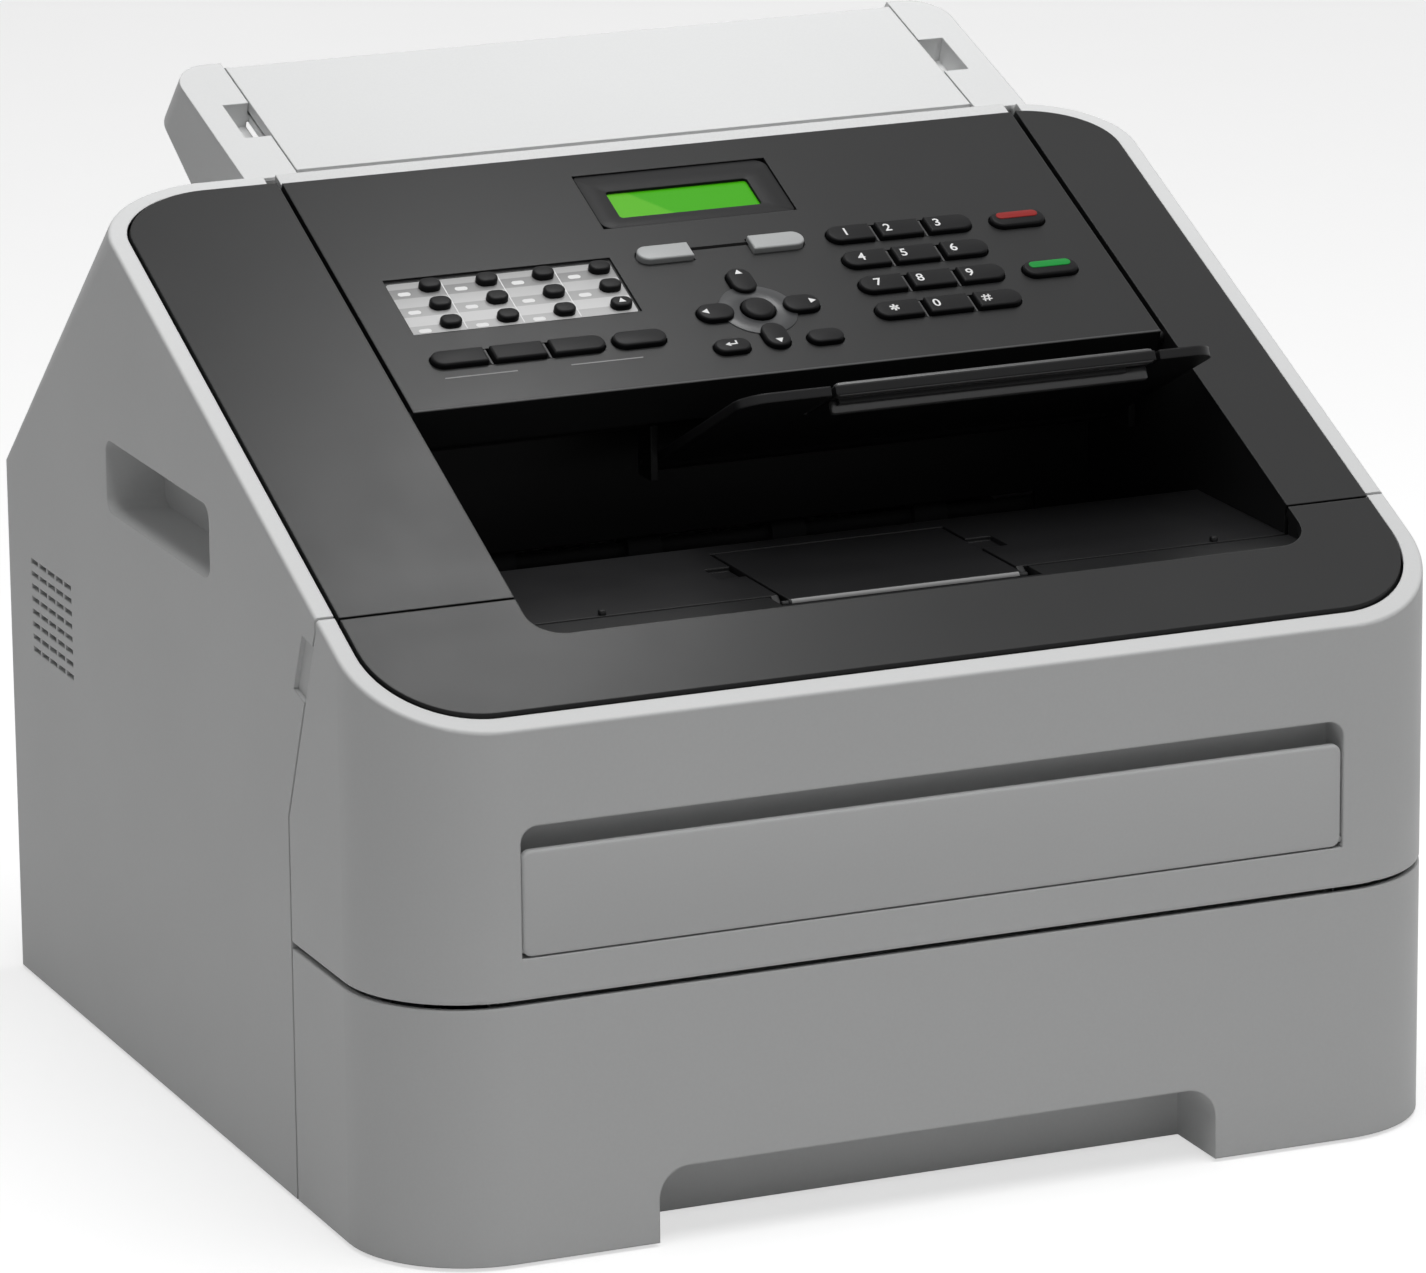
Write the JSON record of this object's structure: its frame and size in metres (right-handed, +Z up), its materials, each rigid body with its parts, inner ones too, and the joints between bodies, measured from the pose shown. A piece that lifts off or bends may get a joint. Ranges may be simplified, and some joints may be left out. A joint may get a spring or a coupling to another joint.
{
  "type": "fax machine",
  "caption": "Compact desktop laser fax machine with a sloped keypad panel, an output well under a document flap, a hinged front cover, a paper drawer and a rear document tray.",
  "frame": {"origin": "on the table under the middle of the body", "axes": "+X to the right seen from the front, +Y to the back, +Z up"},
  "size_m": [0.368, 0.36, 0.3127],
  "materials": {
    "casing": "fine grained moulded, light grey",
    "deck": "satin grained, dark grey",
    "well": "satin, near black",
    "chassis_black": "moulded, black",
    "keys": "satin, black",
    "mode_keys": "silver grey",
    "steel": "plated sheet",
    "fuser": "coated",
    "roller_rubber": "matt",
    "gear_white": "natural",
    "boards": "circuit board with parts",
    "feet": "matt"
  },
  "bodies": {
    "chassis": {"base_frame": "chassis_black", "left_side_cover": "casing", "right_side_cover": "casing", "rear_housing": "casing", "top_cover": "deck", "output_tray": "well", "document_support": "casing", "drum_unit": "chassis_black", "toner_cartridge": "chassis_black", "laser_unit": "chassis_black", "scan_bar": "chassis_black", "drive_motor": "steel", "main_board": "boards", "power_supply": "boards", "rubber_feet": "feet", "cover_screws": "steel"},
    "front_cover": {"front_cover": "casing", "front_deck": "deck"},
    "control_panel": {"control_panel": "deck", "display_board": "boards"},
    "paper_cassette": {"paper_cassette": "casing"},
    "manual_feed_door": {"manual_feed_door": "casing"},
    "rear_cover": {"rear_cover": "casing"},
    "document_flap": {"document_flap": "casing"},
    "document_output_flap": {"document_output_flap": "well"},
    "output_flap": {"output_flap": "well"},
    "lift_plate": {"lift_plate": "steel"},
    "left_side_guide": {"left_side_guide": "chassis_black"},
    "right_side_guide": {"right_side_guide": "chassis_black"},
    "pickup_roller": {"pickup_roller": "roller_rubber"},
    "fuser_roller": {"fuser_roller": "fuser"},
    "pressure_roller": {"pressure_roller": "roller_rubber"},
    "eject_roller": {"eject_roller": "roller_rubber"},
    "document_roller": {"document_roller": "roller_rubber"},
    "drive_gear": {"drive_gear": "gear_white"},
    "dial_key_1": {"dial_key_1": "keys"},
    "dial_key_2": {"dial_key_2": "keys"},
    "dial_key_3": {"dial_key_3": "keys"},
    "dial_key_4": {"dial_key_4": "keys"},
    "dial_key_5": {"dial_key_5": "keys"},
    "dial_key_6": {"dial_key_6": "keys"},
    "dial_key_7": {"dial_key_7": "keys"},
    "dial_key_8": {"dial_key_8": "keys"},
    "dial_key_9": {"dial_key_9": "keys"},
    "dial_key_star": {"dial_key_star": "keys"},
    "dial_key_0": {"dial_key_0": "keys"},
    "dial_key_hash": {"dial_key_hash": "keys"},
    "stop_key": {"stop_key": "keys"},
    "start_key": {"start_key": "keys"},
    "ok_key": {"ok_key": "keys"},
    "up_key": {"up_key": "keys"},
    "down_key": {"down_key": "keys"},
    "left_key": {"left_key": "keys"},
    "right_key": {"right_key": "keys"},
    "clear_key": {"clear_key": "keys"},
    "menu_key": {"menu_key": "keys"},
    "fax_mode_key": {"fax_mode_key": "mode_keys"},
    "copy_mode_key": {"copy_mode_key": "mode_keys"},
    "function_keys": {"function_keys": "keys"},
    "one_touch_keys": {"one_touch_keys": "keys"}
  },
  "joints": [
    {"name": "cassette_slide", "type": "slide", "parent": "chassis", "child": "paper_cassette", "axis": [0, -1, 0], "range_m": [0, 0.25]},
    {"name": "front_cover_hinge", "type": "hinge", "parent": "chassis", "child": "front_cover", "pos_m": [0, -0.175, 0.091], "axis": [1, 0, 0], "range_deg": [0, 90]},
    {"name": "control_panel_hinge", "type": "hinge", "parent": "chassis", "child": "control_panel", "pos_m": [0, -0.03247, 0.234], "axis": [1, 0, 0], "range_deg": [0, 65]},
    {"name": "document_flap_hinge", "type": "hinge", "parent": "chassis", "child": "document_flap", "pos_m": [0, 0.15942, 0.30978], "axis": [-1, 0, 0], "range_deg": [0, 150]},
    {"name": "document_output_flap_hinge", "type": "hinge", "parent": "chassis", "child": "document_output_flap", "pos_m": [0, -0.008, 0.2045], "axis": [1, 0, 0], "range_deg": [0, 24]},
    {"name": "output_flap_hinge", "type": "hinge", "parent": "chassis", "child": "output_flap", "pos_m": [0, -0.1293, 0.1865], "axis": [1, 0, 0], "range_deg": [0, 110]},
    {"name": "manual_feed_door_hinge", "type": "hinge", "parent": "front_cover", "child": "manual_feed_door", "pos_m": [0, -0.1776, 0.1017], "axis": [1, 0, 0], "range_deg": [0, 90]},
    {"name": "rear_cover_hinge", "type": "hinge", "parent": "chassis", "child": "rear_cover", "pos_m": [0, 0.1776, 0.0652], "axis": [-1, 0, 0], "range_deg": [0, 80]},
    {"name": "lift_plate_hinge", "type": "hinge", "parent": "paper_cassette", "child": "lift_plate", "pos_m": [0, -0.012, 0.0082], "axis": [-1, 0, 0], "range_deg": [0, 12]},
    {"name": "left_guide_slide", "type": "slide", "parent": "paper_cassette", "child": "left_side_guide", "axis": [1, 0, 0], "range_m": [0, 0.031]},
    {"name": "right_guide_slide", "type": "slide", "parent": "paper_cassette", "child": "right_side_guide", "axis": [-1, 0, 0], "range_m": [0, 0.031]},
    {"name": "fuser_spin", "type": "hinge", "parent": "chassis", "child": "fuser_roller", "pos_m": [0, 0.095, 0.119], "axis": [1, 0, 0], "continuous": true},
    {"name": "drive_gear_spin", "type": "hinge", "parent": "chassis", "child": "drive_gear", "pos_m": [0, 0.05, 0.112], "axis": [1, 0, 0], "continuous": true},
    {"name": "eject_spin", "type": "hinge", "parent": "chassis", "child": "eject_roller", "pos_m": [0, 0.034, 0.164], "axis": [1, 0, 0], "continuous": true},
    {"name": "pressure_spin", "type": "hinge", "parent": "chassis", "child": "pressure_roller", "pos_m": [0, 0.095, 0.0967], "axis": [1, 0, 0], "continuous": true},
    {"name": "pickup_spin", "type": "hinge", "parent": "chassis", "child": "pickup_roller", "pos_m": [0, -0.1, 0.076], "axis": [1, 0, 0], "continuous": true},
    {"name": "document_roller_spin", "type": "hinge", "parent": "chassis", "child": "document_roller", "pos_m": [0, 0.0429, 0.2515], "axis": [1, 0, 0], "continuous": true},
    {"name": "dial_key_1_press", "type": "slide", "parent": "control_panel", "child": "dial_key_1", "axis": [0, 0.4047, -0.9145], "range_m": [0, 0.0012], "stiffness_N_per_m": 500},
    {"name": "dial_key_2_press", "type": "slide", "parent": "control_panel", "child": "dial_key_2", "axis": [0, 0.4047, -0.9145], "range_m": [0, 0.0012], "stiffness_N_per_m": 500},
    {"name": "dial_key_3_press", "type": "slide", "parent": "control_panel", "child": "dial_key_3", "axis": [0, 0.4047, -0.9145], "range_m": [0, 0.0012], "stiffness_N_per_m": 500},
    {"name": "dial_key_4_press", "type": "slide", "parent": "control_panel", "child": "dial_key_4", "axis": [0, 0.4047, -0.9145], "range_m": [0, 0.0012], "stiffness_N_per_m": 500},
    {"name": "dial_key_5_press", "type": "slide", "parent": "control_panel", "child": "dial_key_5", "axis": [0, 0.4047, -0.9145], "range_m": [0, 0.0012], "stiffness_N_per_m": 500},
    {"name": "dial_key_6_press", "type": "slide", "parent": "control_panel", "child": "dial_key_6", "axis": [0, 0.4047, -0.9145], "range_m": [0, 0.0012], "stiffness_N_per_m": 500},
    {"name": "dial_key_7_press", "type": "slide", "parent": "control_panel", "child": "dial_key_7", "axis": [0, 0.4047, -0.9145], "range_m": [0, 0.0012], "stiffness_N_per_m": 500},
    {"name": "dial_key_8_press", "type": "slide", "parent": "control_panel", "child": "dial_key_8", "axis": [0, 0.4047, -0.9145], "range_m": [0, 0.0012], "stiffness_N_per_m": 500},
    {"name": "dial_key_9_press", "type": "slide", "parent": "control_panel", "child": "dial_key_9", "axis": [0, 0.4047, -0.9145], "range_m": [0, 0.0012], "stiffness_N_per_m": 500},
    {"name": "dial_key_star_press", "type": "slide", "parent": "control_panel", "child": "dial_key_star", "axis": [0, 0.4047, -0.9145], "range_m": [0, 0.0012], "stiffness_N_per_m": 500},
    {"name": "dial_key_0_press", "type": "slide", "parent": "control_panel", "child": "dial_key_0", "axis": [0, 0.4047, -0.9145], "range_m": [0, 0.0012], "stiffness_N_per_m": 500},
    {"name": "dial_key_hash_press", "type": "slide", "parent": "control_panel", "child": "dial_key_hash", "axis": [0, 0.4047, -0.9145], "range_m": [0, 0.0012], "stiffness_N_per_m": 500},
    {"name": "stop_key_press", "type": "slide", "parent": "control_panel", "child": "stop_key", "axis": [0, 0.4047, -0.9145], "range_m": [0, 0.0012], "stiffness_N_per_m": 500},
    {"name": "start_key_press", "type": "slide", "parent": "control_panel", "child": "start_key", "axis": [0, 0.4047, -0.9145], "range_m": [0, 0.0012], "stiffness_N_per_m": 500},
    {"name": "ok_key_press", "type": "slide", "parent": "control_panel", "child": "ok_key", "axis": [0, 0.4047, -0.9145], "range_m": [0, 0.0012], "stiffness_N_per_m": 500},
    {"name": "up_key_press", "type": "slide", "parent": "control_panel", "child": "up_key", "axis": [0, 0.4047, -0.9145], "range_m": [0, 0.0012], "stiffness_N_per_m": 500},
    {"name": "down_key_press", "type": "slide", "parent": "control_panel", "child": "down_key", "axis": [0, 0.4047, -0.9145], "range_m": [0, 0.0012], "stiffness_N_per_m": 500},
    {"name": "left_key_press", "type": "slide", "parent": "control_panel", "child": "left_key", "axis": [0, 0.4047, -0.9145], "range_m": [0, 0.0012], "stiffness_N_per_m": 500},
    {"name": "right_key_press", "type": "slide", "parent": "control_panel", "child": "right_key", "axis": [0, 0.4047, -0.9145], "range_m": [0, 0.0012], "stiffness_N_per_m": 500},
    {"name": "clear_key_press", "type": "slide", "parent": "control_panel", "child": "clear_key", "axis": [0, 0.4047, -0.9145], "range_m": [0, 0.0012], "stiffness_N_per_m": 500},
    {"name": "menu_key_press", "type": "slide", "parent": "control_panel", "child": "menu_key", "axis": [0, 0.4047, -0.9145], "range_m": [0, 0.0012], "stiffness_N_per_m": 500},
    {"name": "fax_mode_key_press", "type": "slide", "parent": "control_panel", "child": "fax_mode_key", "axis": [0, 0.4047, -0.9145], "range_m": [0, 0.0012], "stiffness_N_per_m": 500},
    {"name": "copy_mode_key_press", "type": "slide", "parent": "control_panel", "child": "copy_mode_key", "axis": [0, 0.4047, -0.9145], "range_m": [0, 0.0012], "stiffness_N_per_m": 500},
    {"name": "function_keys_press", "type": "slide", "parent": "control_panel", "child": "function_keys", "axis": [0, 0.4047, -0.9145], "range_m": [0, 0.0012], "stiffness_N_per_m": 900},
    {"name": "one_touch_keys_press", "type": "slide", "parent": "control_panel", "child": "one_touch_keys", "axis": [0, 0.4047, -0.9145], "range_m": [0, 0.0012], "stiffness_N_per_m": 1500}
  ],
  "couplings": [
    {"joint": "right_guide_slide", "follows": "left_guide_slide", "ratio": 1},
    {"joint": "drive_gear_spin", "follows": "fuser_spin", "ratio": -0.55},
    {"joint": "eject_spin", "follows": "fuser_spin", "ratio": 0.64706},
    {"joint": "pressure_spin", "follows": "fuser_spin", "ratio": -1.028}
  ]
}
